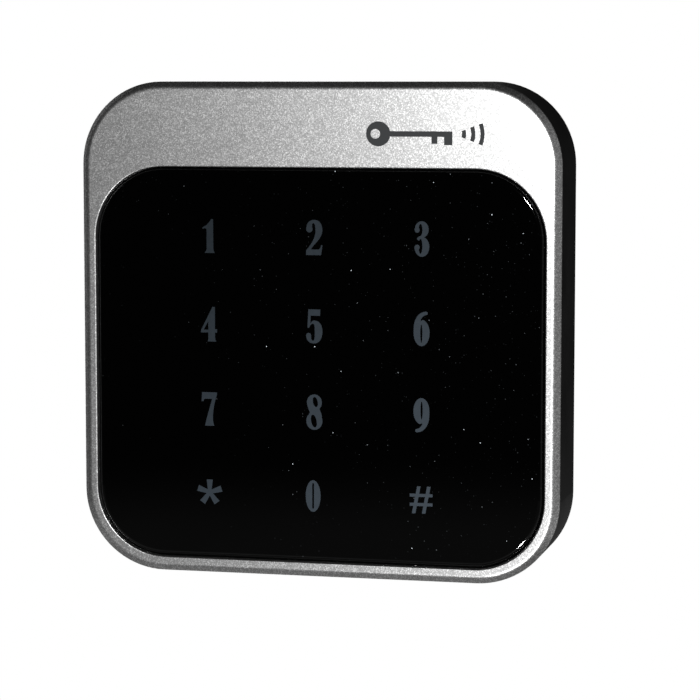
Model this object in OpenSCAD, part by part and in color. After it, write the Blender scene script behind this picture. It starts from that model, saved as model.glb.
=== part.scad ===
// Keypad access reader: a flat touch keypad in a silver frame, on a screwed-on wall plate.
//
// Every module is drawn lying on its back: X is right, Y is up the wall and Z is the height
// above the wall. upright() then stands it up, so the wall is the plane Y = 0, the reader
// faces -Y and +Z is up. The origin is the centre of the wall plate's fixing slots.

/* [Case] */
// Width of the case across the middle
case_w = 118; // [114:0.5:122]
// Height of the case up the middle
case_h = 119.4; // [116:0.1:122]
// Depth from the wall to the front face
case_d = 23.4; // [22:0.1:24]
// Radius of the case's corners
corner_r = 20; // [19:0.5:21]
// Width of the chamfer round the front face
chamfer_w = 1.5; // [1:0.1:1.8]
// Depth of that chamfer
chamfer_d = 1.35; // [1:0.05:1.5]
// Thickness of the rear housing's side wall
wall = 2.2; // [2:0.1:2.4]

/* [Touch panel] */
// Width of the opening for the touch lens
lens_w = 110.7; // [110:0.1:111.4]
// Height of that opening
lens_h = 95.2; // [94:0.1:96]
// How far the opening's centre is below the case's
lens_drop = 8.45; // [8:0.05:9]
// Radius of the opening's corners
lens_r = 17; // [16:0.5:18]
// Thickness of the lens
lens_t = 2; // [1.8:0.1:2.2]
// How far the lens's front is below the frame's face
lens_recess = 0.2; // [0.1:0.05:0.4]
// Radius of the lens's front edge
lens_edge_r = 1.5; // [1:0.1:1.7]

/* [Keys] */
// Distance between the key columns
key_pitch_x = 26.3; // [25:0.1:27]
// Distance between the key rows
key_pitch_y = 20.8; // [20:0.1:21]
// Height of the middle of the keypad, measured from the case's centre
keypad_y = -8.9; // [-10:0.05:-8]
// How far the keypad is left of the case's centre line
keypad_left = 0.6; // [0:0.1:1]
// Height of a digit
digit_h = 8.2; // [8:0.1:9]

/* [Wall plate] */
// Thickness of the sheet steel
plate_t = 1.5; // [1.2:0.1:1.6]
// Distance between the two level slots
slot_pitch_x = 60.3; // [60:0.1:61]
// Distance between the two upright slots
slot_pitch_y = 83.5; // [83:0.1:84]
// Width of a slot
slot_w = 4.5; // [4:0.1:5]
// Length of a slot, end to end
slot_len = 8; // [7:0.5:9]
// Radius of the cable hole through the grommet
cable_r = 10; // [9:0.5:10]

/* [Hidden] */
$fn = 64;
gap = 0.02;
cut = 1;

// Outlines: half width, half height, corner radius and how far the middle is raised
case_line = [case_w / 2, case_h / 2, corner_r, 0];
lens_line = [lens_w / 2, lens_h / 2, lens_r, -lens_drop];
fill_w = 12;

// Heights above the wall, from the front down
lens_top = case_d - lens_recess;
lens_back = lens_top - lens_t;
gasket_t = 0.3;
ledge_top = lens_back - gasket_t;
bezel_back = ledge_top - 1.4;
chamfer_back = case_d - chamfer_d;
bezel_rim = chamfer_back - 0.3;
housing_top = bezel_rim - 0.1;
pad_t = 0.2;
guide_t = 1;
board_t = 1.6;
pads_top = lens_back - guide_t;
touch_top = pads_top - pad_t;
touch_back = touch_top - board_t;
main_top = 12;
main_back = main_top - board_t;
floor_top = 6;
floor_back = 4;
rear_edge = 0.4;

// Frame details
ledge_w = 3;
lens_gap = 0.12;
rim_fillet = 0.3;
edge_turn = atan2(chamfer_d, chamfer_w);
side_fillet = 0.5;
face_fillet = 1.6;
spigot_out = wall + 0.15;
spigot_in = spigot_out + 1.65;
spigot_end = 15.5;
seal_z = [17, 18.2];
seal_depth = 0.65;
legend_depth = 0.15;
mark_depth = 0.12;

// How far each row of keys is above its even place, from the top row down
row_lift = [0.3, -0.25, -0.15, 0.25];

// Case screws
screw_x = 47;
screw_y = 48;
boss_r = 3.5;
post_r = 4;
thread_r = 1.45;
thread_hole_r = 1.5;
clear_r = 1.7;
head_r = 2.7;
head_h = 2;
head_seat = floor_back + head_h + 0.6;
screw_end = 17.6;

// Board supports and the connector between the boards
connector_y = 27;
spacer_x = 36;
spacer_y = [20, -33];
spacer_r = 3;
pin_r = 1.4;
top_pin_r = 1.15;
pin_gap = 0.1;

// Hooks at the top of the wall plate, and the ribs they catch
hook_x = 28;
hook_w = 12;
hook_y = [case_h / 2 - 6.15, case_h / 2 - 2.75];
hook_z = [4.4, 4.4 + plate_t];
rib_z = [1.9, 3.1];
rib_end = case_h / 2 - 4.05;
plate_inset = 2.9;

// Lock screw at the bottom
lock_z = 6.2;
tab_w = 12;
tab_y = -case_h / 2 + 7.15;
lock_seat = -case_h / 2 + 3.05;
lock_head_r = 2.75;
lock_head_h = 1.9;
block_y = -case_h / 2 + 6.45;
block_top = 10.2;

// Tamper switch and its plunger
tamper_at = [34, -28];
tamper_size = 6.4;
tamper_back = 6.6;
plunger_r = 1.6;
plunger_tip = plate_t + 0.1;
plunger_end = 8.2;

// Terminals and the openings for the cable
ways = 8;
way_pitch = 3.81;
terminal_y = [2, 10.4];
terminal_back = 3.4;
window_x = 18;
window_y = [-9.5, 11.5];
grommet_y = -4;

function key_x(column) = (column - 1) * key_pitch_x - keypad_left;
function key_y(row) = (1.5 - row) * key_pitch_y + keypad_y + row_lift[row];

// ---------------------------------------------------------------- shapes

module upright() { rotate([90, 0, 0]) children(); }

// Runs a profile all round an outline: its x is the distance out from the line, its y the height
module sweep(line) {
    run = [line[0] - line[2], line[1] - line[2]];
    translate([0, line[3], 0]) {
        for (mx = [0, 1], my = [0, 1])
            mirror([mx, 0, 0]) mirror([0, my, 0]) translate(run)
                rotate_extrude(angle = 90) translate([line[2], 0]) children();
        for (m = [0, 1]) {
            mirror([m, 0, 0]) translate([line[0], run.y, 0]) rotate([90, 0, 0])
                linear_extrude(2 * run.y) children();
            mirror([0, m, 0]) translate([-run.x, line[1], 0]) rotate([90, 0, 90])
                linear_extrude(2 * run.x) children();
        }
    }
}

// Fills the middle that sweep() leaves open
module middle(line, z0, z1) {
    x = line[0] - fill_w + 1;
    y = line[1] - fill_w + 1;
    translate([-x, line[3] - y, z0]) cube([2 * x, 2 * y, z1 - z0]);
}

// A flat plate of an outline's shape, grown outwards by d
module slab(line, d, z0, z1) {
    sweep(line) translate([-fill_w, z0]) square([fill_w + d, z1 - z0]);
    middle(line, z0, z1);
}

// A flat ring between two offsets of an outline
module ring(line, d0, d1, z0, z1) {
    sweep(line) translate([d0, z0]) square([d1 - d0, z1 - z0]);
}

module box(x, y, z) {
    translate([x[0], y[0], z[0]]) cube([x[1] - x[0], y[1] - y[0], z[1] - z[0]]);
}

module rod(r, z0, z1, at = [0, 0]) {
    translate([at[0], at[1], z0]) cylinder(r = r, h = z1 - z0);
}

// A rectangular plate with round corners, centred
module round_plate(w, h, r, z0, z1) {
    box([-w / 2, w / 2], [r - h / 2, h / 2 - r], [z0, z1]);
    box([r - w / 2, w / 2 - r], [-h / 2, h / 2], [z0, z1]);
    for (x = [-1, 1], y = [-1, 1]) rod(r, z0, z1, [x * (w / 2 - r), y * (h / 2 - r)]);
}

// A slot along X with round ends
module slot(length, w, z0, z1) {
    run = (length - w) / 2;
    box([-run, run], [-w / 2, w / 2], [z0, z1]);
    for (x = [-run, run]) rod(w / 2, z0, z1, [x, 0]);
}

// A pan head screw standing head down on z = 0, its thread up
module pan_screw(r_head, h_head, r_thread, length) {
    difference() {
        union() {
            rotate_extrude() intersection() {
                union() {
                    translate([0, -h_head]) square([r_head - h_head / 2, h_head]);
                    translate([0, -h_head / 2]) square([r_head, h_head / 2]);
                    translate([r_head - h_head / 2, -h_head / 2]) circle(h_head / 2);
                }
                translate([0, -h_head]) square([r_head, h_head]);
            }
            rod(r_thread, 0, length - 0.5);
            translate([0, 0, length - 0.5]) cylinder(r1 = r_thread, r2 = r_thread - 0.4, h = 0.5);
        }
        for (a = [0, 60, 120]) rotate(a)
            box([-r_head * 0.48, r_head * 0.48], [-r_head * 0.15, r_head * 0.15],
                [-h_head - cut, -h_head * 0.45]);
    }
}

module at_case_screws() {
    for (x = [-screw_x, screw_x], y = [-screw_y, screw_y]) translate([x, y, 0]) children();
}

module at_spacers() {
    for (x = [-spacer_x, spacer_x], y = spacer_y) translate([x, y, 0]) children();
}

module at_keys() {
    for (row = [0 : 3], column = [0 : 2]) translate([key_x(column), key_y(row), 0]) children();
}

// ---------------------------------------------------------------- legends

// Points along part of an ellipse, and along a cubic curve
function arc(c, rx, ry, a0, a1, n = 10) =
    [for (i = [0 : n]) let (a = a0 + (a1 - a0) * i / n) [c[0] + rx * cos(a), c[1] + ry * sin(a)]];
function curve(p, q, r, s, n = 8) =
    [for (i = [0 : n]) let (t = i / n, u = 1 - t)
        u * u * u * p + 3 * u * u * t * q + 3 * u * t * t * r + t * t * t * s];

module oval(c, rx, ry, tilt = 0) {
    translate(c) rotate(tilt) polygon([for (a = [0 : 12 : 348]) [rx * cos(a), ry * sin(a)]]);
}

module digit_1() {
    polygon(concat(
        curve([-19, 25], [-8, 30], [2, 38], [8, 50]), [[14, 50], [14.5, -34]],
        curve([14.5, -36], [15, -42], [16, -44], [19, -50], 4),
        curve([-12.5, -50], [-8, -44], [-6.5, -42], [-6, -36], 4),
        curve([-6, 18], [-6, 24], [-12, 23], [-18, 21], 5)));
}

module digit_2() {
    polygon(concat(
        curve([-24, 23], [-24, 42], [-14, 51.5], [1, 51.5]),
        curve([1, 51.5], [17, 51.5], [24.5, 38], [24.5, 21]),
        curve([24.5, 21], [24.5, -4], [-2, -18], [-10, -35]),
        [[12, -35]], curve([12, -35], [17, -34], [19, -30], [21, -22], 4), [[25, -22], [20.5, -51.5]],
        [[-24.5, -51.5]], curve([-24.5, -38], [-14, -26], [4, -4], [4, 20]),
        curve([4, 20], [4, 34], [1, 42], [-2, 42], 5),
        curve([-2, 42], [-6, 42], [-7, 36], [-6, 24], 5)));
    oval([-14.5, 24], 9.5, 9.5);
}

module digit_3() {
    difference() {
        union() {
            oval([-0.5, 27.5], 20.5, 24);
            oval([0, -22.5], 22, 29);
            polygon([[-13.5, 4], [-14.5, 1], [-13, -2], [-8, -4.5], [6, -5], [6, 9], [-8, 7]]);
        }
        oval([-4, 26.5], 5.5, 17);
        oval([-4, -21], 5.5, 21.5);
        polygon([[-24, 24], [-4, 24], [-2.5, 10], [-8, 7.5], [-13.5, 4.2], [-15, 1], [-24, 1]]);
        polygon([[-24, -22], [-4, -22], [-2, -7], [-8, -5], [-13, -2.2], [-15, 1], [-24, 1]]);
        polygon([[9, 6], [24, 12], [24, 0]]);
    }
    oval([-14, 26], 7.5, 8);
    oval([-14, -24], 7.5, 8);
}

module digit_4() {
    difference() {
        polygon(concat(
            [[11, 51.5], [18.5, 51.5], [18.5, -15], [25, -14], [25, -25], [18.5, -25], [18.5, -39]],
            curve([18.5, -39], [19, -45], [20, -48], [22.5, -51.5], 4),
            curve([-4.5, -51.5], [-3, -48], [-2, -45], [-2, -39], 4),
            [[-2, -25], [-25, -25], [-24, -17]]));
        polygon([[-2, 9], [-2, -16.5], [-16, -16.5]]);
    }
}

module digit_5() {
    polygon(concat(
        [[-18, 50], [18, 50], [17.5, 31.5], [-11, 31.5], [-11.5, 8]],
        curve([-11.5, 8], [-9, 14], [-5, 17.5], [0, 17.5], 5),
        curve([0, 17.5], [16, 17.5], [24.5, 4], [24.5, -15]),
        curve([24.5, -15], [24.5, -37], [14, -50], [-1, -50]),
        curve([-1, -50], [-15, -50], [-24, -42], [-24.5, -28]),
        [[-10, -28]], curve([-10, -28], [-10, -38], [-7, -42], [-4, -42], 5),
        curve([-4, -42], [1, -42], [1.5, -30], [1.5, -18]),
        curve([1.5, -18], [1.5, -2], [1, 6], [-3, 8], 5),
        curve([-3, 8], [-8, 9], [-12, 4], [-16.5, -5], 5), [[-20.5, -3]]));
    oval([-17, -27], 7.5, 8);
}

module digit_6() {
    difference() {
        union() {
            oval([0, -12], 23.8, 38.5);
            polygon(concat(
                curve([-23.6, -8], [-25.5, 24], [-12, 49], [13, 50.5]), [[18, 48], [17, 41]],
                curve([17, 41], [5, 40], [-2, 32], [-3, 20]), [[0, -8]]));
        }
        oval([-0.8, -14], 3, 26.5);
        polygon(concat(curve([-3, 21], [-1.5, 24], [2, 26], [5, 26], 4), [[-2, 30]]));
    }
}

module digit_7() {
    polygon(concat(
        [[-22.5, 50], [24, 50], [23.5, 42]],
        curve([23.5, 42], [16, 22], [11, -4], [11, -24]),
        curve([11, -24], [11, -36], [12, -42], [15, -50], 4),
        [[-13.5, -50]], curve([-13.5, -50], [-8, -24], [2, 6], [8.5, 30.5]),
        [[-12, 30.5]], curve([-12, 30.5], [-16, 30], [-17, 28], [-17.5, 23], 4), [[-24, 22.5]]));
}

module digit_8() {
    difference() {
        union() {
            oval([0, 28.5], 22.7, 24);
            oval([0, -26], 24.5, 26.5);
            polygon([[-21, 19], [-17.5, 8], [-13.5, -0.5], [-17, -7], [-20, -13],
                [21, -17], [22.8, -12], [20.5, -3], [15.5, 9], [19, 16]]);
        }
        oval([3, 30], 7.2, 15, 12);
        oval([-1.5, -26.5], 8.4, 19, 12);
    }
}

module digit_0() {
    translate([-4, 0]) difference() {
        oval([0, 0], 22.6, 47);
        slot_2d(5.4, 76);
    }
}

module slot_2d(w, h) {
    square([w, h - w], center = true);
    for (y = [-1, 1]) translate([0, y * (h - w) / 2]) circle(w / 2, $fn = 16);
}

module star_key() {
    for (a = [0 : 72 : 288]) rotate(a) polygon([[-5, 0], [-9.5, 38], [9.5, 38], [5, 0], [0, -6]]);
}

module hash_key() {
    lean = 15.5;
    for (y = [-13.5, 13.5]) translate([0, y]) square([68, 9.2], center = true);
    for (x = [-22.5, 7.2])
        polygon([[x - 5, -40], [x + 5.5, -40], [x + 5.5 + lean, 40], [x - 5 + lean, 40]]);
}

module glyph(name) {
    scale(digit_h / 100) {
        if (name == "1") digit_1();
        if (name == "2") digit_2();
        if (name == "3") digit_3();
        if (name == "4") digit_4();
        if (name == "5") digit_5();
        if (name == "6") digit_6();
        if (name == "7") digit_7();
        if (name == "8") digit_8();
        if (name == "9") rotate(180) digit_6();
        if (name == "*") star_key();
        if (name == "0") digit_0();
        if (name == "#") hash_key();
    }
}

module legend_solids(z0, z1) {
    names = ["1", "2", "3", "4", "5", "6", "7", "8", "9", "*", "0", "#"];
    for (i = [0 : 11])
        translate([key_x(i % 3), key_y(floor(i / 3)), z0]) linear_extrude(z1 - z0) glyph(names[i]);
}

// A key beside three radio waves: the bow, the shaft, two bits and the arcs
mark_at = [26.4, 47.4];
mark_bow_r = 2.95;
mark_wave_r = [3, 5.2, 7.4];

module mark_solids(z0, z1) {
    translate([mark_at[0], mark_at[1], z0]) linear_extrude(z1 - z0) {
        difference() {
            union() {
                translate([-11.3, 0]) circle(mark_bow_r);
                translate([-9, -0.65]) square([15.6, 1.3]);
                translate([1.6, -2.3]) square([1.4, 2]);
                translate([4.6, -2.6]) square([2, 2.3]);
            }
            translate([-12, 0]) circle(1.15);
        }
        for (r = mark_wave_r) translate([6.9, 0])
            polygon(concat(arc([0, 0], r, r, -21, 21), arc([0, 0], r - 1, r - 1, 21, -21)));
    }
}

// ---------------------------------------------------------------- front

// The chamfer round the face, eased into the side and into the face by small arcs
function soft_chamfer() = concat(
    arc([-side_fillet, chamfer_back - side_fillet * tan((90 - edge_turn) / 2)],
        side_fillet, side_fillet, 0, 90 - edge_turn, 4),
    arc([-chamfer_w - face_fillet * tan(edge_turn / 2), case_d - face_fillet],
        face_fillet, face_fillet, 90 - edge_turn, 90, 6));

module front_bezel() {
    color("silver") upright() difference() {
        union() {
            sweep(case_line) polygon(concat([
                [-fill_w, bezel_back], [-spigot_in, bezel_back], [-spigot_in, spigot_end],
                [-spigot_out, spigot_end], [-spigot_out, bezel_rim], [0, bezel_rim]],
                soft_chamfer(), [[-fill_w, case_d]]));
            middle(case_line, bezel_back, case_d);
            at_case_screws() rod(boss_r, main_top + gap, ledge_top);
        }
        slab(lens_line, lens_gap, ledge_top, case_d + cut);
        sweep(lens_line) polygon(concat([
            [lens_gap + rim_fillet, case_d + cut], [-1, case_d + cut], [-1, case_d - rim_fillet]],
            arc([lens_gap + rim_fillet, case_d - rim_fillet], rim_fillet, rim_fillet, 180, 90, 5)));
        difference() {
            slab(lens_line, -ledge_w, bezel_back - cut, ledge_top + cut);
            at_case_screws() rod(boss_r, 0, ledge_top);
        }
        box([-40, 40], [43, 54], [bezel_back - cut, ledge_top + gasket_t]);
        ring(case_line, -spigot_out - seal_depth, -spigot_out + cut / 2, seal_z[0], seal_z[1]);
        at_case_screws() rod(thread_hole_r, main_top - cut, bezel_back);
        mark_solids(case_d - mark_depth, case_d + cut);
    }
}

module touch_lens() {
    color([0.02, 0.02, 0.025]) upright() difference() {
        union() {
            sweep(lens_line) {
                translate([-fill_w, lens_back]) square([fill_w - lens_edge_r, lens_t]);
                translate([-fill_w, lens_back]) square([fill_w, lens_t - lens_edge_r]);
                translate([-lens_edge_r, lens_top - lens_edge_r]) intersection() {
                    circle(lens_edge_r);
                    square(lens_edge_r);
                }
            }
            middle(lens_line, lens_back, lens_top);
        }
        legend_solids(lens_top - legend_depth, lens_top + cut);
    }
}

module key_legends() {
    color([0.3, 0.32, 0.34]) upright() legend_solids(lens_top - legend_depth, lens_top);
}

module key_mark() {
    color([0.24, 0.26, 0.28]) upright() mark_solids(case_d - mark_depth, case_d);
}

module lens_gasket() {
    color("dimgray") upright() ring(lens_line, 0.3 - ledge_w, -0.3, ledge_top, lens_back);
}

// The outline that the light guide and the touch board share, clear of the lower bosses
module behind_lens(z0, z1) {
    difference() {
        slab(lens_line, -ledge_w - 0.35, z0, z1);
        at_case_screws() rod(boss_r + 0.5, z0 - cut, z1 + cut);
    }
}

module light_guide() {
    color("white", 0.8) upright() difference() {
        behind_lens(pads_top, lens_back);
        at_keys() box([-1.6, 1.6], [-1.1, 1.1], [pads_top - cut, pads_top + 0.55]);
    }
}

module touch_pads() {
    color("peru") upright() at_keys() difference() {
        rod(8, touch_top, pads_top);
        rod(2.4, touch_top - cut, pads_top + cut);
    }
}

module key_leds() {
    color("lightyellow") upright() at_keys() box([-1, 1], [-0.6, 0.6], [touch_top, touch_top + 0.6]);
}

module touch_pcb() {
    color("darkgreen") upright() difference() {
        behind_lens(touch_back, touch_top);
        at_spacers() rod(top_pin_r + pin_gap, touch_back - cut, touch_top + cut);
    }
}

// ---------------------------------------------------------------- boards and what is on them

module board_spacers() {
    color("ivory") upright() at_spacers() {
        rod(spacer_r, main_top + gap, touch_back - gap);
        rod(top_pin_r, touch_back - 0.5, touch_top - 0.1);
        rod(pin_r, main_back - 0.8, main_top + 0.5);
        translate([0, 0, main_back - 1.2]) cylinder(r1 = pin_r - 0.6, r2 = pin_r, h = 0.4);
    }
}

module board_connector() {
    pins = 8;
    pitch = 2.54;
    half = pins * pitch / 2;
    color([0.12, 0.12, 0.12]) upright() translate([0, connector_y, 0]) difference() {
        box([-half, half], [-2.6, 2.6], [main_top + gap, touch_back - gap]);
        for (i = [1 : pins - 1], side = [-1, 1])
            translate([i * pitch - half, side * 2.6, 0]) rod(0.35, main_top, touch_back);
        box([-half - cut, half + cut], [-3, -1.9], [14.6, 15]);
        box([-half - cut, half + cut], [1.9, 3], [14.6, 15]);
    }
}

module main_pcb() {
    color("green") upright() difference() {
        round_plate(108, 109, 14, main_back, main_top);
        at_case_screws() rod(clear_r, main_back - cut, main_top + cut);
        at_spacers() rod(pin_r + pin_gap, main_back - cut, main_top + cut);
    }
}

module antenna_coil() {
    coil_line = [49, 39, 12, -3];
    turns_w = 3.5;
    color("orangered") upright() sweep(coil_line) {
        translate([-turns_w, main_top]) square([turns_w, 2.2]);
        for (i = [0 : 4]) translate([-turns_w + 0.35 + i * 0.7, main_top + 2.2]) circle(0.3, $fn = 16);
    }
}

module controller_chip() {
    side = 10;
    pins = 11;
    pitch = 0.8;
    color([0.1, 0.1, 0.1]) upright() translate([-14, 8, 0]) {
        difference() {
            box([-side / 2, side / 2], [-side / 2, side / 2], [main_top + 0.1, main_top + 1.5]);
            rod(0.6, main_top + 1.3, main_top + 2, [-3.6, 3.6]);
        }
        for (a = [0 : 90 : 270], i = [0 : pins - 1]) rotate(a)
            translate([side / 2 - 0.1, (i - (pins - 1) / 2) * pitch, 0]) {
                box([0, 0.6], [-0.18, 0.18], [main_top + 0.6, main_top + 0.8]);
                box([0.4, 0.6], [-0.18, 0.18], [main_top, main_top + 0.8]);
                box([0.4, 1.1], [-0.18, 0.18], [main_top, main_top + 0.2]);
            }
    }
}

module rf_chip() {
    color([0.13, 0.13, 0.14]) upright() translate([14, 10, 0]) difference() {
        box([-2.5, 2.5], [-2.5, 2.5], [main_top, main_top + 0.9]);
        rod(0.35, main_top + 0.75, main_top + 2, [-1.8, 1.8]);
    }
}

module crystal() {
    color("lightgray") upright() translate([-14, -8, main_top]) {
        slot(11.2, 4.6, 0, 0.5);
        slot(10.4, 3.8, 0, 3.4);
    }
}

module capacitors() {
    color("gainsboro") upright() for (x = [19, 28]) translate([x, -12, main_top]) {
        rod(3.15, 0.3, 5.2);
        box([-3.3, 3.3], [-3.3, 3.3], [0, 0.9]);
    }
}

module buzzer() {
    color([0.08, 0.08, 0.08]) upright() translate([-26, -26, main_top]) difference() {
        union() {
            rod(6, 0, 4.8);
            rod(6.4, 0, 0.8);
        }
        rod(1.3, 2, 6);
    }
}

module at_ways() {
    for (i = [0 : ways - 1]) translate([(i - (ways - 1) / 2) * way_pitch, 0, 0]) children();
}

module terminal_block() {
    half = ways * way_pitch / 2 + 0.4;
    color("seagreen") upright() difference() {
        box([-half, half], terminal_y, [terminal_back, main_back - gap]);
        at_ways() {
            box([-1.3, 1.3], [terminal_y[0] - cut, terminal_y[0] + 4.5], [5.8, 8.6]);
            rod(1.45, terminal_back - cut, 6.4, [0, 6.8]);
        }
        box([-half - cut, half + cut], [terminal_y[0] - cut, terminal_y[0] + 0.8],
            [terminal_back - cut, terminal_back + 1.2]);
    }
}

module terminal_screws() {
    color("lightsteelblue") upright() at_ways() difference() {
        rod(1.38, terminal_back + 0.6, 6.1, [0, 6.8]);
        box([-0.3, 0.3], [4, 9], [terminal_back, terminal_back + 1.3]);
    }
}

module tamper_switch() {
    half = tamper_size / 2;
    color([0.1, 0.1, 0.11]) upright() translate([tamper_at[0], tamper_at[1], 0]) difference() {
        union() {
            box([-half, half], [-half, half], [tamper_back + 0.6, main_back - gap]);
            rod(2.4, tamper_back, tamper_back + 1);
        }
        rod(plunger_r + 0.05, tamper_back - cut, plunger_end + 1.4);
    }
}

module tamper_plunger() {
    color("crimson") upright() translate([tamper_at[0], tamper_at[1], 0]) {
        rod(plunger_r, plunger_tip + 0.5, plunger_end);
        translate([0, 0, plunger_tip]) cylinder(r1 = plunger_r - 0.5, r2 = plunger_r, h = 0.5);
    }
}

// ---------------------------------------------------------------- rear

module housing_seal() {
    color([0.2, 0.2, 0.2]) upright()
        ring(case_line, -spigot_out - seal_depth + gap, -wall - gap, seal_z[0] + 0.05, seal_z[1] - 0.05);
}

module lock_channel(r, y0, y1) {
    box([-r, r], [y0, y1], [-cut, lock_z]);
    translate([0, y1, lock_z]) rotate([90, 0, 0]) cylinder(r = r, h = y1 - y0);
}

module rear_housing() {
    rear_chamfer = 0.6;
    color([0.06, 0.06, 0.07]) upright() difference() {
        union() {
            sweep(case_line) polygon([
                [-wall, rear_edge], [-rear_chamfer, rear_edge], [0, rear_edge + rear_chamfer],
                [0, housing_top], [-wall, housing_top]]);
            slab(case_line, -wall + 0.5, floor_back, floor_top);
            at_case_screws() rod(post_r, floor_back + 0.5, main_back - gap);
            for (x = [-hook_x, hook_x])
                box([x - hook_w / 2 - 1, x + hook_w / 2 + 1], [rib_end, case_h / 2 - 1.5], rib_z);
            box([-6.5, 6.5], [-case_h / 2 + 1.5, block_y], [2.2, block_top]);
            difference() {
                box([-window_x - 1.5, window_x + 1.5], [window_y[0] - 1.5, window_y[1] + 1.5],
                    [floor_back, floor_top + 2]);
                box([-window_x, window_x], window_y, [0, case_d]);
            }
        }
        at_case_screws() {
            rod(clear_r, 0, case_d);
            rod(head_r + 0.3, 0, head_seat);
        }
        for (x = [-hook_x, hook_x])
            box([x - hook_w / 2 - 1.5, x + hook_w / 2 + 1.5], [case_h / 2 - 8.05, case_h / 2 - 2.35],
                [floor_back - 0.1, floor_top + cut]);
        box([-tab_w / 2 - 1, tab_w / 2 + 1], [block_y, tab_y + 4.3], [floor_back - cut, floor_top + cut]);
        lock_channel(lock_head_r + 0.85, -case_h / 2 - cut, lock_seat);
        lock_channel(thread_r + 0.35, -case_h / 2 - cut, block_y + cut);
        box([-window_x, window_x], window_y, [0, floor_top + cut]);
        rod(plunger_r + 1, 0, floor_top + cut, tamper_at);
    }
}

module case_screws() {
    color("gray") upright() at_case_screws() translate([0, 0, head_seat])
        pan_screw(head_r, head_h, thread_r, screw_end - head_seat);
}

module wall_plate() {
    tab_thickness = plate_t;
    color("lightslategray") upright() difference() {
        union() {
            slab(case_line, -plate_inset, 0, plate_t);
            for (x = [-hook_x, hook_x]) {
                box([x - hook_w / 2, x + hook_w / 2], [hook_y[0], hook_y[0] + plate_t], [0, hook_z[1]]);
                box([x - hook_w / 2, x + hook_w / 2], hook_y, hook_z);
            }
            box([-tab_w / 2, tab_w / 2], [tab_y, tab_y + tab_thickness], [0, lock_z + 3.2]);
        }
        for (x = [-hook_x, hook_x])
            box([x - hook_w / 2 - 0.6, x + hook_w / 2 + 0.6], [hook_y[0] + plate_t, case_h / 2],
                [-cut, plate_t + 0.2]);
        for (x = [-1, 1]) translate([x * slot_pitch_x / 2, 0, 0]) slot(slot_len, slot_w, -cut, plate_t + cut);
        for (y = [-1, 1]) translate([0, y * slot_pitch_y / 2, 0]) rotate(90)
            slot(slot_len, slot_w, -cut, plate_t + cut);
        rod(cable_r + 2, -cut, plate_t + cut, [0, grommet_y]);
        translate([0, tab_y + tab_thickness + cut, lock_z]) rotate([90, 0, 0])
            cylinder(r = thread_hole_r, h = tab_thickness + 2 * cut);
    }
}

module cable_grommet() {
    color([0.07, 0.07, 0.07]) upright() translate([0, grommet_y, 0]) rotate_extrude() polygon([
        [cable_r, 0.2], [cable_r + 1.95, 0.2], [cable_r + 1.95, plate_t + gap],
        [cable_r + 4, plate_t + gap], [cable_r + 3.6, plate_t + 1.1], [cable_r + 0.5, plate_t + 1.1],
        [cable_r, plate_t + 0.6]]);
}

module lock_screw() {
    color("silver") upright() translate([0, lock_seat - 0.05, lock_z]) rotate([-90, 0, 0])
        pan_screw(lock_head_r, lock_head_h, thread_r, 7.6);
}

front_bezel();
touch_lens();
key_legends();
key_mark();
lens_gasket();
light_guide();
touch_pads();
key_leds();
touch_pcb();
board_spacers();
board_connector();
main_pcb();
antenna_coil();
controller_chip();
rf_chip();
crystal();
capacitors();
buzzer();
terminal_block();
terminal_screws();
tamper_switch();
tamper_plunger();
housing_seal();
rear_housing();
case_screws();
wall_plate();
cable_grommet();
lock_screw();
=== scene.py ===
"""Looks of the keypad access reader: finishes, small board detail, studio and camera."""

import math
import random

import bmesh
import bpy
from mathutils import Matrix, Vector


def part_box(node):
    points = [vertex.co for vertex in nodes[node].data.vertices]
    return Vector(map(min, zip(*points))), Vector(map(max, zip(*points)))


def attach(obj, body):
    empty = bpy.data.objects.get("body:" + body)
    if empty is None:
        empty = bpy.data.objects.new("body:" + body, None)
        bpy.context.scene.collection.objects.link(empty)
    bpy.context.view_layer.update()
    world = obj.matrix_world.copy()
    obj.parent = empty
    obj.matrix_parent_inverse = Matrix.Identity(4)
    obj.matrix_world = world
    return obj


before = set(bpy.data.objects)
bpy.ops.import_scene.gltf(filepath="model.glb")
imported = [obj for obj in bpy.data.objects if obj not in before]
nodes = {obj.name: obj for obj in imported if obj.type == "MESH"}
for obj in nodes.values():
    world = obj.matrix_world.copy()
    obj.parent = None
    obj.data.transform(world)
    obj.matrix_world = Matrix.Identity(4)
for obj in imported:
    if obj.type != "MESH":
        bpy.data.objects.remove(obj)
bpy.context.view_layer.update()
MM = 0.001


# ------------------------------------------------------------------ shader helper

def add_node(tree, kind, inputs=(), **settings):
    """A new shader node. An input that is a socket is linked, and any other sets the value."""
    made = tree.nodes.new(kind)
    for setting, value in settings.items():
        setattr(made, setting, value)
    for socket, value in dict(inputs).items():
        if isinstance(value, bpy.types.NodeSocket):
            tree.links.new(value, made.inputs[socket])
        else:
            made.inputs[socket].default_value = value
    return made


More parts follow.
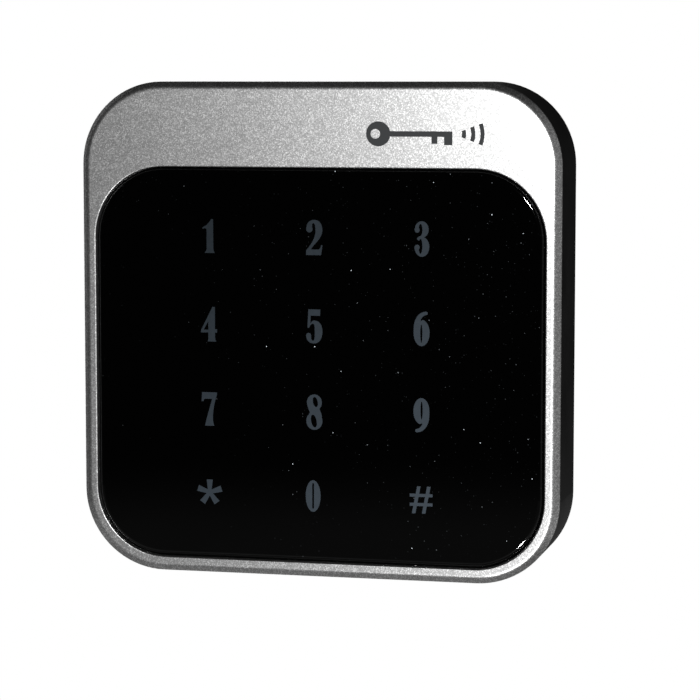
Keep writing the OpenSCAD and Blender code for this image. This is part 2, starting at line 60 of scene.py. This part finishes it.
class Finish:
    """A Principled material, and the node chains that the finishes share.

    Sizes are in millimetres on the surface. What is the same all over is given as a setting,
    and what varies is fed to a socket."""

    def __init__(self, name, colour, **settings):
        self.material = bpy.data.materials.new(name)
        self.material.use_nodes = True
        self.tree = self.material.node_tree
        self.shader = self.tree.nodes["Principled BSDF"]
        self.shader.inputs["Base Color"].default_value = (*colour, 1)
        for setting, value in settings.items():
            self.shader.inputs[setting.replace("_", " ")].default_value = value
        self.place = self.add("ShaderNodeTexCoord").outputs["Object"]

    def add(self, kind, inputs=(), **settings):
        return add_node(self.tree, kind, inputs, **settings)

    def noise(self, size, detail=2.0, rough=0.5, seed=0.0):
        return self.add("ShaderNodeTexNoise", {
            "Vector": self.place, "W": seed, "Scale": 1 / (size * MM), "Detail": detail,
            "Roughness": rough}, noise_dimensions="4D").outputs["Fac"]

    def stretched(self, scale):
        """The place on the surface, scaled along each axis: a small number draws a long grain."""
        return self.add("ShaderNodeMapping", {"Vector": self.place, "Scale": scale},
                        vector_type="POINT").outputs["Vector"]

    def grain(self, scale, size, detail=3.0):
        return self.add("ShaderNodeTexNoise", {
            "Vector": self.stretched(scale), "Scale": 1 / (size * MM), "Detail": detail,
            "Roughness": 0.6}).outputs["Fac"]

    def cells(self, size):
        return self.add("ShaderNodeTexVoronoi", {"Vector": self.place, "Scale": 1 / (size * MM)})

    def spread(self, value, low, high, to_low=0.0, to_high=1.0):
        """Stretches the part of a value between low and high over to_low to to_high."""
        return self.add("ShaderNodeMapRange", {
            "Value": value, "From Min": low, "From Max": high,
            "To Min": to_low, "To Max": to_high}).outputs["Result"]

    def math(self, operation, a, b=0.0):
        return self.add("ShaderNodeMath", {0: a, 1: b}, operation=operation).outputs[0]

    def mix(self, share, a, b):
        """Goes from colour a to colour b as share goes from 0 to 1."""
        a, b = (c if isinstance(c, bpy.types.NodeSocket) else (*c, 1) for c in (a, b))
        made = self.add("ShaderNodeMix", {0: share, 6: a, 7: b}, data_type="RGBA")
        return made.outputs[2]

    def bump(self, height, depth, strength=1.0):
        """Relief of the given depth in millimetres where height runs from 0 to 1."""
        return self.add("ShaderNodeBump", {
            "Height": height, "Distance": depth * MM, "Strength": strength}).outputs["Normal"]

    def feed(self, **sockets):
        for socket, value in sockets.items():
            self.tree.links.new(value, self.shader.inputs[socket.replace("_", " ")])


def grey(level, warm=0.0):
    """A neutral colour, a little warmer (or, below 0, cooler) by the share given."""
    return (level * (1 + warm), level, level * (1 - warm))


# ------------------------------------------------------------------ finishes

def silver_paint():
    """Metallic silver paint with painted glints: each aluminium flake gets a lighter or darker colour,
    in place of flakes that lie at slightly different angles.
    """
    f = Finish("silver_paint", grey(0.6), Metallic=1.0, Roughness=0.36, IOR=1.5)
    flake = f.add("ShaderNodeSeparateColor", {"Color": f.cells(0.24).outputs["Color"]}).outputs
    # painted glint: each flake's colour is made lighter or darker as if it caught the light
    painted_glint = f.math("POWER", flake[1], 2.5)
    f.feed(Base_Color=f.mix(painted_glint, grey(0.44), grey(0.96)))
    f.feed(Roughness=f.math("ADD", f.spread(f.noise(25, 2), 0.3, 0.7, 0.355, 0.365),
                            f.spread(flake[0], 0, 1, -0.02, 0.02)))
    f.feed(Normal=f.bump(f.noise(0.22, 1, 0.5), 0.002, 1.0))
    return f.material


def lens():
    """Gloss black acrylic with dust on it and the faintest of rubbed marks."""
    f = Finish("lens", grey(0.0002), Roughness=0.035, IOR=1.49)
    speck = f.cells(0.5)
    near = f.spread(speck.outputs["Distance"], 0.18, 0.26, 1, 0)
    pick = f.add("ShaderNodeSeparateColor", {"Color": speck.outputs["Color"]}).outputs
    along = f.add("ShaderNodeSeparateXYZ", {0: f.place}).outputs
    share = f.math("ADD", f.spread(along[0], -0.03, 0.055, 0, 0.1),
                   f.spread(along[2], -0.03, 0.04, 0, 0.035))
    chosen = f.math("MULTIPLY", near, f.math("LESS_THAN", pick[0], share))
    rank = f.math("DIVIDE", pick[0], share)
    size = f.math("MULTIPLY", f.math("POWER", rank, -1.1), 0.0045)
    dust = f.math("MULTIPLY", chosen, f.math("MINIMUM", size, 1))
    f.feed(Base_Color=f.mix(dust, grey(0.0002), (0.85, 0.93, 1.0)))
    f.feed(Roughness=f.math("ADD", f.spread(f.noise(14, 2), 0.3, 0.7, 0.025, 0.05),
                            f.math("MULTIPLY", dust, 0.5)))
    return f.material


def legend_ink():
    """Slate grey ink with painted light: made lighter towards the bottom right key and darker towards
    the top left one, and patchy at random.
    """
    f = Finish("legend_ink", (0.015, 0.019, 0.023), Roughness=0.42, IOR=1.15)
    patch = f.noise(1.1, 3)
    along = f.add("ShaderNodeSeparateXYZ", {0: f.place}).outputs
    # painted light: the ink colour runs lighter downwards and to the right; the patch noise adds
    # random tone
    painted_light_and_tone = f.math("ADD", f.spread(along[2], 0.024, -0.041, 0, 0.55),
                    f.spread(along[0], -0.027, 0.026, 0, 0.4))
    painted_light_and_tone = f.math("ADD", painted_light_and_tone, f.spread(patch, 0.3, 0.7, -0.05, 0.05))
    f.feed(Base_Color=f.mix(painted_light_and_tone, (0.0146, 0.0194, 0.024), (0.043, 0.055, 0.068)))
    f.feed(Roughness=f.spread(patch, 0.3, 0.7, 0.4, 0.45))
    f.feed(Normal=f.bump(f.noise(0.25, 2), 0.003, 0.5))
    return f.material


def mark_ink():
    f = Finish("mark_ink", (0.011, 0.013, 0.0145), Roughness=0.62, IOR=1.45)
    grain = f.noise(0.3, 2)
    f.feed(Base_Color=f.mix(f.spread(grain, 0.3, 0.7), (0.009, 0.011, 0.0125), (0.013, 0.015, 0.0165)))
    f.feed(Normal=f.bump(grain, 0.01, 0.5))
    return f.material


def moulded(name, colour, other, rough, texture=0.35, depth=0.012, handled=0.06):
    """Moulded plastic or rubber: spark-eroded texture, slow drifts of colour and gloss."""
    f = Finish(name, colour, Roughness=rough, IOR=1.5)
    pits = f.noise(texture, 4, 0.6)
    drift = f.noise(18, 3)
    f.feed(Base_Color=f.mix(f.spread(drift, 0.35, 0.65), colour, other))
    f.feed(Roughness=f.math("ADD", f.spread(drift, 0.3, 0.7, rough - handled, rough + handled),
                            f.spread(pits, 0.3, 0.7, -0.04, 0.04)))
    f.feed(Normal=f.bump(pits, depth, 0.7))
    return f.material


def black_plastic():
    return moulded("black_plastic", grey(0.006), grey(0.009), 0.34)


def black_nylon():
    return moulded("black_nylon", grey(0.018), grey(0.025), 0.5, 0.25)


def seal_rubber():
    return moulded("seal_rubber", grey(0.02), grey(0.03), 0.72, 0.2, 0.015)


def foam():
    return moulded("foam", grey(0.045), grey(0.075), 0.9, 0.3, 0.08)


def nylon():
    return moulded("nylon", (0.72, 0.69, 0.6), (0.66, 0.62, 0.53), 0.42, 0.5, 0.01)


def red_plastic():
    return moulded("red_plastic", (0.55, 0.03, 0.02), (0.48, 0.022, 0.018), 0.36, 0.4)


def terminal_green():
    return moulded("terminal_green", (0.035, 0.26, 0.1), (0.03, 0.22, 0.085), 0.4, 0.3)


def chip_epoxy():
    return moulded("chip_epoxy", grey(0.022), grey(0.03), 0.55, 0.12, 0.01)


def diffuser():
    f = Finish("diffuser", grey(0.8), Roughness=0.3, IOR=1.49, Subsurface_Weight=0.2)
    haze = f.noise(3, 3)
    f.feed(Base_Color=f.mix(f.spread(haze, 0.3, 0.7), grey(0.78, 0.01), grey(0.86, -0.01)))
    f.feed(Roughness=f.spread(haze, 0.3, 0.7, 0.22, 0.4))
    return f.material


def led():
    f = Finish("led", (0.85, 0.82, 0.6), Roughness=0.25, IOR=1.5)
    phosphor = f.noise(0.3, 3)
    f.feed(Base_Color=f.mix(f.spread(phosphor, 0.3, 0.7), (0.85, 0.78, 0.42), (0.9, 0.87, 0.68)))
    return f.material


def solder_mask(name, colour, other, rough):
    """Lacquer on a board: the glass weave under it shows faintly, and its gloss drifts."""
    f = Finish(name, colour, Roughness=rough, IOR=1.5)
    across = f.grain((1, 1, 0.25), 0.5)
    weave = f.math("MAXIMUM", across, f.grain((0.25, 1, 1), 0.5))
    cloud = f.noise(9, 3)
    shade = f.math("ADD", f.spread(weave, 0.45, 0.7, 0, 0.5), f.spread(cloud, 0.3, 0.7, 0, 0.5))
    f.feed(Base_Color=f.mix(shade, colour, other))
    f.feed(Roughness=f.math("ADD", f.spread(weave, 0.4, 0.7, -0.03, 0.05),
                            f.spread(cloud, 0.3, 0.7, rough - 0.04, rough + 0.04)))
    f.feed(Normal=f.bump(weave, 0.008, 0.6))
    return f.material


def circuit_board():
    return solder_mask("circuit_board", (0.008, 0.075, 0.032), (0.014, 0.105, 0.046), 0.3)


def covered_track():
    """Copper under the lacquer."""
    return solder_mask("covered_track", (0.022, 0.165, 0.066), (0.03, 0.2, 0.085), 0.26)


def board_print():
    return moulded("board_print", grey(0.72), grey(0.62), 0.55, 0.15, 0.004)


def bare_metal(name, colour, rough, stretch, streak=0.5, depth=0.004):
    """Metal with a drawn or rolled grain along the axis whose stretch is smallest."""
    f = Finish(name, colour, Metallic=1.0, Roughness=rough)
    lines = f.grain(stretch, streak)
    cloud = f.noise(5, 3)
    dark = tuple(c * 0.78 for c in colour)
    f.feed(Base_Color=f.mix(f.spread(cloud, 0.3, 0.7), dark, colour))
    f.feed(Roughness=f.math("ADD", f.spread(lines, 0.3, 0.7, rough - 0.07, rough + 0.07),
                            f.spread(cloud, 0.3, 0.7, -0.04, 0.05)))
    f.feed(Normal=f.bump(lines, depth, 0.6))
    return f.material


def copper():
    return bare_metal("copper", (0.78, 0.42, 0.22), 0.3, (1, 1, 1), 0.8)


def coil_wire():
    return bare_metal("coil_wire", (0.62, 0.2, 0.07), 0.26, (1, 1, 1), 0.4)


def can_metal():
    return bare_metal("can_metal", grey(0.72), 0.28, (1, 0.1, 1), 0.3)


def zinc_steel():
    return bare_metal("zinc_steel", (0.62, 0.63, 0.6), 0.32, (1, 1, 1), 0.35)


def plate_steel():
    """Zinc-plated sheet: a rolled grain up the plate, crystal patches and dull spots."""
    f = Finish("plate_steel", (0.56, 0.57, 0.56), Metallic=1.0, Roughness=0.36)
    roll = f.grain((1, 1, 0.04), 0.25, 4)
    spangle = f.cells(5).outputs["Color"]
    patch = f.add("ShaderNodeSeparateColor", {"Color": spangle}).outputs[1]
    level = f.math("ADD", f.spread(roll, 0.3, 0.7, 0, 0.55), f.spread(patch, 0, 1, 0, 0.45))
    f.feed(Base_Color=f.mix(level, (0.42, 0.43, 0.43), (0.64, 0.65, 0.63)))
    f.feed(Roughness=f.math("ADD", f.spread(roll, 0.3, 0.7, 0.3, 0.4),
                            f.spread(f.noise(7, 4), 0.4, 0.7, -0.03, 0.1)))
    f.feed(Normal=f.bump(roll, 0.006, 0.6))
    return f.material


def ceramic():
    return moulded("ceramic", (0.36, 0.25, 0.15), (0.3, 0.2, 0.12), 0.5, 0.12, 0.008)


def solder():
    """Tinned ends and joints: dull where the solder froze, bright where it was wetted."""
    f = Finish("solder", grey(0.66), Metallic=1.0, Roughness=0.3)
    froze = f.noise(0.5, 3)
    f.feed(Base_Color=f.mix(f.spread(froze, 0.3, 0.7), grey(0.5), grey(0.74, 0.01)))
    f.feed(Roughness=f.spread(froze, 0.3, 0.7, 0.18, 0.48))
    f.feed(Normal=f.bump(froze, 0.02, 0.7))
    return f.material


def tape():
    """Amber film: gloss with faint creases."""
    f = Finish("tape", (0.42, 0.17, 0.02), Roughness=0.22, IOR=1.5)
    crease = f.noise(1.6, 3)
    f.feed(Base_Color=f.mix(f.spread(crease, 0.3, 0.7), (0.36, 0.13, 0.014), (0.5, 0.22, 0.03)))
    f.feed(Roughness=f.spread(crease, 0.3, 0.7, 0.15, 0.32))
    f.feed(Normal=f.bump(crease, 0.03, 0.6))
    return f.material


FINISHES = {make.__name__: make for make in (
    silver_paint, lens, legend_ink, mark_ink, foam, diffuser, copper, led, circuit_board, nylon,
    black_nylon, coil_wire, chip_epoxy, can_metal, terminal_green, zinc_steel, red_plastic,
    seal_rubber, black_plastic, plate_steel, ceramic, solder, tape,
    covered_track, board_print)}
materials = {name: make() for name, make in FINISHES.items()}

for node in nodes.values():
    for i, old in enumerate(node.data.materials):
        node.data.materials[i] = materials[old.name.split(".")[0]]


# ------------------------------------------------------------------ board and plate detail

# Places are (x, z) in millimetres on the main board's front, seen from the front
RESISTORS = ([(-24.5, 3.5 + 2.3 * i) for i in range(5)] + [(-3.5, 3 + 2.3 * i) for i in range(5)]
             + [(4 + 3.1 * i, -20) for i in range(10)] + [(20.5, 6 + 2.3 * i) for i in range(4)])
CAPACITORS = ([(-21 + 3.2 * i, 17.5) for i in range(6)] + [(9 + 3 * i, 16) for i in range(4)]
              + [(10 + 3.2 * i, 4) for i in range(4)] + [(-20 + 4 * i, -13.5) for i in range(4)])
DIODES = [(5 + 5 * i, -25) for i in range(5)] + [(-13, -22), (-13, -26.5)]
TEST_PADS = [(-34, 8 - 3.2 * i) for i in range(6)] + [(-8 + 3.2 * i, -33) for i in range(6)]
BOARD_LOW, BOARD_HIGH = (Vector(corner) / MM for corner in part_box("main_pcb"))
BOARD_Y = BOARD_LOW.y
BOARD_HOLES = [(x, z) for x in (-47, 47) for z in (-48, 48)] + [
    (x, z) for x in (-36, 36) for z in (-33, 20)]
BOARD_R = 14
HOLE_CLEAR = 4
TRACK_PITCH = 1.27
TRACK_T = 0.035
PRINT_W = 0.18
PRINT_T = 0.05
CHIP = (1.6, 0.8, 0.5)
DIODE = (2.6, 1.5, 1.0)
CHIP_END = 0.3
TAPE_W = 5.2
TAPE_T = 0.08
PLATE_T = 1.5


def add_piece(name, body, mesh, finish, smooth=False):
    """Makes a piece of a bmesh drawn in millimetres, riding on a body."""
    bmesh.ops.scale(mesh, verts=mesh.verts, vec=(MM, MM, MM))
    bmesh.ops.recalc_face_normals(mesh, faces=mesh.faces)
    data = bpy.data.meshes.new(name)
    mesh.to_mesh(data)
    mesh.free()
    data.materials.append(materials[finish])
    for face in data.polygons:
        face.use_smooth = smooth
    piece = bpy.data.objects.new(name, data)
    bpy.context.scene.collection.objects.link(piece)
    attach(piece, body)


def add_block(mesh, place, size, turn=0.0, shift=0.0, edge=0.05):
    """A block on the board's front with its edges broken; shift slides it along its length."""
    length, width, height = size
    at = Vector((place[0], BOARD_Y - height / 2, place[1]))
    way = Matrix.Translation(at) @ Matrix.Rotation(turn, 4, "Y") @ Matrix.Translation((shift, 0, 0))
    made = bmesh.ops.create_cube(
        mesh, size=1, matrix=way @ Matrix.Diagonal((length, height, width, 1)))["verts"]
    edges = list(dict.fromkeys(line for vert in made for line in vert.link_edges))
    bmesh.ops.bevel(mesh, geom=edges, offset=edge, segments=2, profile=0.5, affect="EDGES")


def make_chips():
    """Small parts on the main board, each set down a little askew, with tinned ends."""
    askew = random.Random(11)
    ends = bmesh.new()
    for name, places, size, slot, finish, upright in (
            ("chip_resistors", RESISTORS, CHIP, "chip_epoxy", "chip_epoxy", True),
            ("chip_capacitors", CAPACITORS, CHIP, "chip_epoxy", "ceramic", False),
            ("diodes", DIODES, DIODE, "chip_epoxy", "chip_epoxy", False)):
        bodies = bmesh.new()
        length, width, height = size
        for place in places:
            turn = math.radians(askew.uniform(-2, 2) + (90 if upright else 0))
            add_block(bodies, place, (length - 2 * CHIP_END, width - 0.04, height - 0.02), turn)
            for side in (-1, 1):
                add_block(ends, place, (CHIP_END, width, height * (1 if length < 2 else 0.35)), turn,
                          side * (length - CHIP_END) / 2)
        add_piece(name, "reader", bodies, finish)
    add_piece("chip_ends", "reader", ends, "solder")


def add_ring(mesh, place, inner, outer, y, height, sides=24):
    """A flat ring standing off y to the front (to the back if height is below 0), edge eased."""
    profile = ((inner, 0), (inner, height), (outer - abs(height) / 2, height), (outer, 0))
    rows = []
    for i in range(sides):
        a = 2 * math.pi * i / sides
        rows.append([mesh.verts.new((place[0] + r * math.cos(a), y - h, place[1] + r * math.sin(a)))
                     for r, h in profile])
    for i in range(sides):
        for j in range(len(profile)):
            k = (j + 1) % len(profile)
            after = rows[(i + 1) % sides]
            mesh.faces.new((rows[i][j], rows[i][k], after[k], after[j]))


def make_test_pads():
    pads = bmesh.new()
    for place in TEST_PADS:
        add_ring(pads, place, 0.35, 0.8, BOARD_Y, 0.05)
    add_piece("test_pads", "reader", pads, "copper")


def add_strip(mesh, line, width, y, height):
    """A flat strip along a line of (x, z) places, standing off y like add_ring does."""
    rows = []
    for i, place in enumerate(line):
        before = (place - line[i - 1]).normalized() if i else None
        after = (line[i + 1] - place).normalized() if i + 1 < len(line) else None
        way = ((before or after) + (after or before)).normalized()
        side = Vector((-way.y, way.x)) / max(0.5, way.dot(before or after))
        row = []
        for offset, rise in ((0.5, 0), (0.42, 1), (-0.42, 1), (-0.5, 0)):
            at = place + side * offset * width
            row.append(mesh.verts.new((at.x, y - rise * height, at.y)))
        rows.append(row)
    for row, after in zip(rows, rows[1:]):
        for k in range(4):
            mesh.faces.new((row[k], row[(k + 1) % 4], after[(k + 1) % 4], after[k]))
    mesh.faces.new(rows[0])
    mesh.faces.new(rows[-1])


def on_board(place, edge=1.5):
    """Whether a place is on the main board, clear of its edge and of its holes."""
    half = Vector(((BOARD_HIGH.x - BOARD_LOW.x) / 2, (BOARD_HIGH.z - BOARD_LOW.z) / 2))
    corner = Vector((abs(place.x) - half.x + BOARD_R, abs(place.y) - half.y + BOARD_R))
    if max(corner) > BOARD_R - edge or (min(corner) > 0 and corner.length > BOARD_R - edge):
        return False
    return all((place - Vector(hole)).length > HOLE_CLEAR for hole in BOARD_HOLES)


def draw_tracks(draw, wanted):
    """Tracks that run along a grid, turn by half right angles and never touch one another."""
    steps = [(1, 0), (1, 1), (0, 1), (-1, 1), (-1, 0), (-1, -1), (0, -1), (1, -1)]
    used = set()
    lines = []
    for _ in range(wanted * 6):
        if len(lines) == wanted:
            break
        reach = round(54 / TRACK_PITCH)
        at = (draw.randint(-reach, reach), draw.randint(-reach, reach))
        heading = draw.choice((0, 2, 4, 6))
        cells = [at]
        turns = [at]
        for _ in range(draw.randint(2, 5)):
            diagonal = heading % 2
            for _ in range(draw.randint(1, 4) if diagonal else draw.randint(3, 16)):
                dx, dz = steps[heading]
                ahead = (at[0] + dx, at[1] + dz)
                beside = {(at[0] + dx, at[1]), (at[0], at[1] + dz)} if diagonal else set()
                if ({ahead} | beside) & used or ahead in cells or not on_board(
                        Vector(ahead) * TRACK_PITCH):
                    break
                at = ahead
                cells.append(at)
            if at != turns[-1]:
                turns.append(at)
            heading = (heading + draw.choice((-1, 1))) % 8
        if len(cells) > 6 and cells[0] not in used and on_board(Vector(cells[0]) * TRACK_PITCH):
            used.update(cells)
            lines.append([Vector(turn) * TRACK_PITCH for turn in turns])
    return lines


def make_tracks():
    """Covered tracks on both faces of the main board, with a plated hole at each end."""
    draw = random.Random(5)
    rings = bmesh.new()
    for name, y, height in (("front_tracks", BOARD_LOW.y, TRACK_T),
                            ("back_tracks", BOARD_HIGH.y, -TRACK_T)):
        tracks = bmesh.new()
        for line in draw_tracks(draw, 260):
            add_strip(tracks, line, draw.choice((0.3, 0.3, 0.45)), y, height)
            for place in (line[0], line[-1]):
                add_ring(rings, place, 0.16, 0.42, y, height * 1.3, sides=16)
        add_piece(name, "reader", tracks, "covered_track")
    add_piece("plated_holes", "reader", rings, "solder")


def make_board_print():
    """Printed outlines round the larger parts."""
    ink = bmesh.new()
    for x, z, wide, high in ((-14, 8, 14, 14), (14, 10, 7.5, 7.5), (-14, -8, 13.4, 6.4),
                             (19, -12, 8, 8), (28, -12, 8, 8), (0, 27, 22.6, 7)):
        corners = [(-1, -1), (1, -1), (1, 1), (-1, 1)]
        for i, (a, b) in enumerate(zip(corners, corners[1:] + corners[:1])):
            ends = [Vector((x + c[0] * wide / 2, z + c[1] * high / 2)) for c in (a, b)]
            along = (ends[1] - ends[0]).normalized()
            gap = 1.6 if i == 3 else 0.1
            add_strip(ink, [ends[0] + along * gap, ends[1] - along * 0.1], PRINT_W, BOARD_Y, PRINT_T)
    circle = [Vector((-26 + 7.2 * math.cos(a), -26 + 7.2 * math.sin(a)))
              for a in (math.radians(12 * k + 6) for k in range(30))]
    add_strip(ink, circle, PRINT_W, BOARD_Y, PRINT_T)
    add_piece("board_print", "reader", ink, "board_print")


def add_tube(mesh, points, radius, sides=10):
    """A round wire along the points, closed at both ends."""
    rings = []
    for i, point in enumerate(points):
        ahead = (points[min(i + 1, len(points) - 1)] - points[max(i - 1, 0)]).normalized()
        side = ahead.cross(Vector((0, 1, 0))).normalized()
        up = side.cross(ahead)
        rings.append([mesh.verts.new(point + radius * (math.cos(a) * side + math.sin(a) * up))
                      for a in (2 * math.pi * k / sides for k in range(sides))])
    for ring, after in zip(rings, rings[1:]):
        for k in range(sides):
            mesh.faces.new((ring[k], ring[(k + 1) % sides], after[(k + 1) % sides], after[k]))
    mesh.faces.new(rings[0])
    mesh.faces.new(rings[-1])


def make_coil_leads():
    """The coil's two ends, led across to joints beside the radio chip."""
    wires = bmesh.new()
    joints = bmesh.new()
    for z, bow in ((8.8, -0.7), (11.2, 0.6)):
        start = Vector((45.2, BOARD_Y - 1.1, z))
        end = Vector((25, BOARD_Y - 0.25, z))
        points = []
        for i in range(21):
            t = i / 20
            drop = t * t * (3 - 2 * t)
            point = start.lerp(end, t)
            point.y = start.y + (end.y - start.y) * min(1.0, drop * 1.6)
            point.z += bow * math.sin(math.pi * t) + 0.15 * math.sin(5 * math.pi * t)
            points.append(point)
        add_tube(wires, points, 0.16)
        made = bmesh.ops.create_uvsphere(joints, u_segments=16, v_segments=10, radius=1,
                                         matrix=Matrix.Translation(end) @ Matrix.Diagonal(
                                             (1.0, 0.42, 0.75, 1)))["verts"]
        for vert in made:
            vert.co.y = min(vert.co.y, BOARD_Y)
            # the joint spreads where it meets the board
            if vert.co.y > BOARD_Y - 0.1:
                vert.co.x += 0.12 * (vert.co.x - end.x)
                vert.co.z += 0.12 * (vert.co.z - end.z)
    add_piece("coil_leads", "reader", wires, "coil_wire", smooth=True)
    add_piece("coil_joints", "reader", joints, "solder", smooth=True)


def make_coil_tapes():
    """Film straps that hold the coil down, each laid over it and pressed onto the board."""
    coil_low, coil_high = (Vector(corner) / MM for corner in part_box("antenna_coil"))
    ring = 1.75  # half the width of the wound band
    rise = BOARD_Y - coil_low.y + 0.06
    over = [(-4.4, 0.02), (-2.3, 0.03), (-1.95, 0.25), (-1.86, rise - 0.35), (-1.6, rise),
            (1.6, rise), (1.86, rise - 0.35), (1.95, 0.25), (2.3, 0.03), (4.4, 0.02)]
    middle_z = (coil_low.z + coil_high.z) / 2
    straps = bmesh.new()
    for centre, across in (((-14, coil_high.z - ring), "z"), ((14, coil_high.z - ring), "z"),
                           ((-14, coil_low.z + ring), "z"), ((14, coil_low.z + ring), "z"),
                           ((coil_low.x + ring, middle_z + 12), "x"),
                           ((coil_low.x + ring, middle_z - 14), "x"),
                           ((coil_high.x - ring, middle_z - 14), "x")):
        rows = []
        for thick in (0, TAPE_T):
            for along in (-TAPE_W / 2, TAPE_W / 2):
                row = []
                for u, h in over:
                    x, z = (centre[0] + u, centre[1] + along) if across == "x" else (
                        centre[0] + along, centre[1] + u)
                    row.append(straps.verts.new((x, BOARD_Y - h - thick, z)))
                rows.append(row)
        back_a, back_b, front_a, front_b = rows
        for pair in ((back_a, back_b), (front_a, front_b), (back_a, front_a), (back_b, front_b)):
            for k in range(len(over) - 1):
                straps.faces.new((pair[0][k], pair[0][k + 1], pair[1][k + 1], pair[1][k]))
        for k in (0, -1):
            straps.faces.new((back_a[k], back_b[k], front_b[k], front_a[k]))
    add_piece("coil_tapes", "reader", straps, "tape")


def make_plate_arrow():
    """An arrow pressed up out of the wall plate, to show which way up it goes."""
    face = -PLATE_T
    outline = [(0, 31), (4.4, 25.6), (1.6, 25.6), (1.6, 19), (-1.6, 19), (-1.6, 25.6), (-4.4, 25.6)]
    middle = Vector((0, 25))
    arrow = bmesh.new()
    rows = []
    for inset, rise in ((0, 0), (0.12, 0.16), (0.3, 0.28)):
        row = []
        for x, z in outline:
            point = Vector((x, z))
            point += (middle - point).normalized() * inset
            row.append(arrow.verts.new((point.x, face - rise, point.y)))
        rows.append(row)
    count = len(outline)
    for row, after in zip(rows, rows[1:]):
        for k in range(count):
            arrow.faces.new((row[k], row[(k + 1) % count], after[(k + 1) % count], after[k]))
    arrow.faces.new(rows[0])
    arrow.faces.new(rows[-1])
    add_piece("plate_arrow", "mounting_plate", arrow, "plate_steel")


make_tracks()
make_board_print()
make_chips()
make_test_pads()
make_coil_leads()
make_coil_tapes()
make_plate_arrow()


# ------------------------------------------------------------------ camera

CAMERA_AT = Vector((0.158, -0.6487, 0.0608))
CAMERA_TURN = [math.radians(a) for a in (13.467, -5.772, -0.018)]
CAMERA_LENS = 138.95
SENSOR = 36


def make_camera():
    """The camera looks along +Y, turned to the left, tipped down and rolled by CAMERA_TURN."""
    yaw, pitch, roll = CAMERA_TURN
    turn = (Matrix.Rotation(yaw, 3, "Z") @ Matrix.Rotation(pitch, 3, "X")
            @ Matrix.Rotation(roll, 3, "Y"))
    right, forward, up = turn.col
    data = bpy.data.cameras.new("camera")
    data.lens = CAMERA_LENS
    data.sensor_width = SENSOR
    data.clip_start = 0.01
    camera = bpy.data.objects.new("camera", data)
    camera.matrix_world = Matrix.Translation(CAMERA_AT) @ Matrix(
        (right, up, -forward)).transposed().to_4x4()
    bpy.context.scene.collection.objects.link(camera)
    bpy.context.scene.camera = camera


# ------------------------------------------------------------------ studio

def soft_light(name, at, width, height, power):
    """An area light aimed at the origin."""
    data = bpy.data.lights.new(name, "AREA")
    data.shape = "RECTANGLE"
    data.size = width
    data.size_y = height
    data.energy = power
    light = bpy.data.objects.new(name, data)
    light.location = at
    light.rotation_mode = "QUATERNION"
    light.rotation_quaternion = (-Vector(at)).to_track_quat("-Z", "Y")
    light.visible_camera = False
    bpy.context.scene.collection.objects.link(light)


def make_floor():
    """A plain round floor well below the reader, which hangs at eye height on its wall."""
    mesh = bmesh.new()
    bmesh.ops.create_circle(mesh, cap_ends=True, radius=1.4, segments=96)
    bmesh.ops.translate(mesh, verts=mesh.verts, vec=(0, 0, -1.1))
    data = bpy.data.meshes.new("floor")
    mesh.to_mesh(data)
    mesh.free()
    floor = bpy.data.objects.new("floor", data)
    bpy.context.scene.collection.objects.link(floor)
    f = Finish("floor", grey(0.8), Roughness=0.7)
    f.feed(Base_Color=f.mix(f.noise(30, 2), grey(0.78), grey(0.82)))
    data.materials.append(f.material)


def make_world():
    """White behind the object; what the object mirrors is dim, lighter from below and the right."""
    world = bpy.data.worlds.new("studio")
    world.use_nodes = True
    bpy.context.scene.world = world
    tree = world.node_tree
    tree.nodes.clear()

    def add(kind, inputs=(), **settings):
        return add_node(tree, kind, inputs, **settings)

    way = add("ShaderNodeSeparateXYZ", {0: add("ShaderNodeTexCoord").outputs["Generated"]})

    def glow(value, low, high, strength):
        return add("ShaderNodeMapRange", {
            "Value": value, "From Min": low, "From Max": high, "To Max": strength},
            interpolation_type="SMOOTHSTEP").outputs["Result"]

    table = glow(way.outputs["Z"], -0.14, -0.17, 0.06)
    below = glow(way.outputs["Z"], -0.25, -0.85, 0.4)
    right = glow(way.outputs["X"], 0.45, 0.95, 0.2)
    left = glow(way.outputs["X"], -0.6, -0.95, 0.03)
    total = 0.008
    for part in (table, below, right, left):
        total = add("ShaderNodeMath", {0: total, 1: part}, operation="ADD").outputs[0]
    dim = add("ShaderNodeBackground", {"Strength": total})
    white = add("ShaderNodeBackground", {"Strength": 1.0})
    for ground in (dim, white):
        ground.inputs["Color"].default_value = (1, 1, 1, 1)
    seen = add("ShaderNodeLightPath").outputs["Is Camera Ray"]
    mixed = add("ShaderNodeMixShader", {0: seen, 1: dim.outputs[0], 2: white.outputs[0]})
    add("ShaderNodeOutputWorld", {0: mixed.outputs[0]})


def make_studio():
    make_world()
    make_floor()
    soft_light("flash", (0.12, -0.66, 0.127), 0.05, 0.035, 3.3)
    soft_light("low_soft", (0.105, -0.66, -0.325), 0.05, 0.035, 2.0)
    soft_light("back_soft", (-0.75, 0.95, 0.3), 1.2, 1.2, 6)
    view = bpy.context.scene.view_settings
    view.view_transform = "Standard"
    view.look = "None"


make_camera()
make_studio()
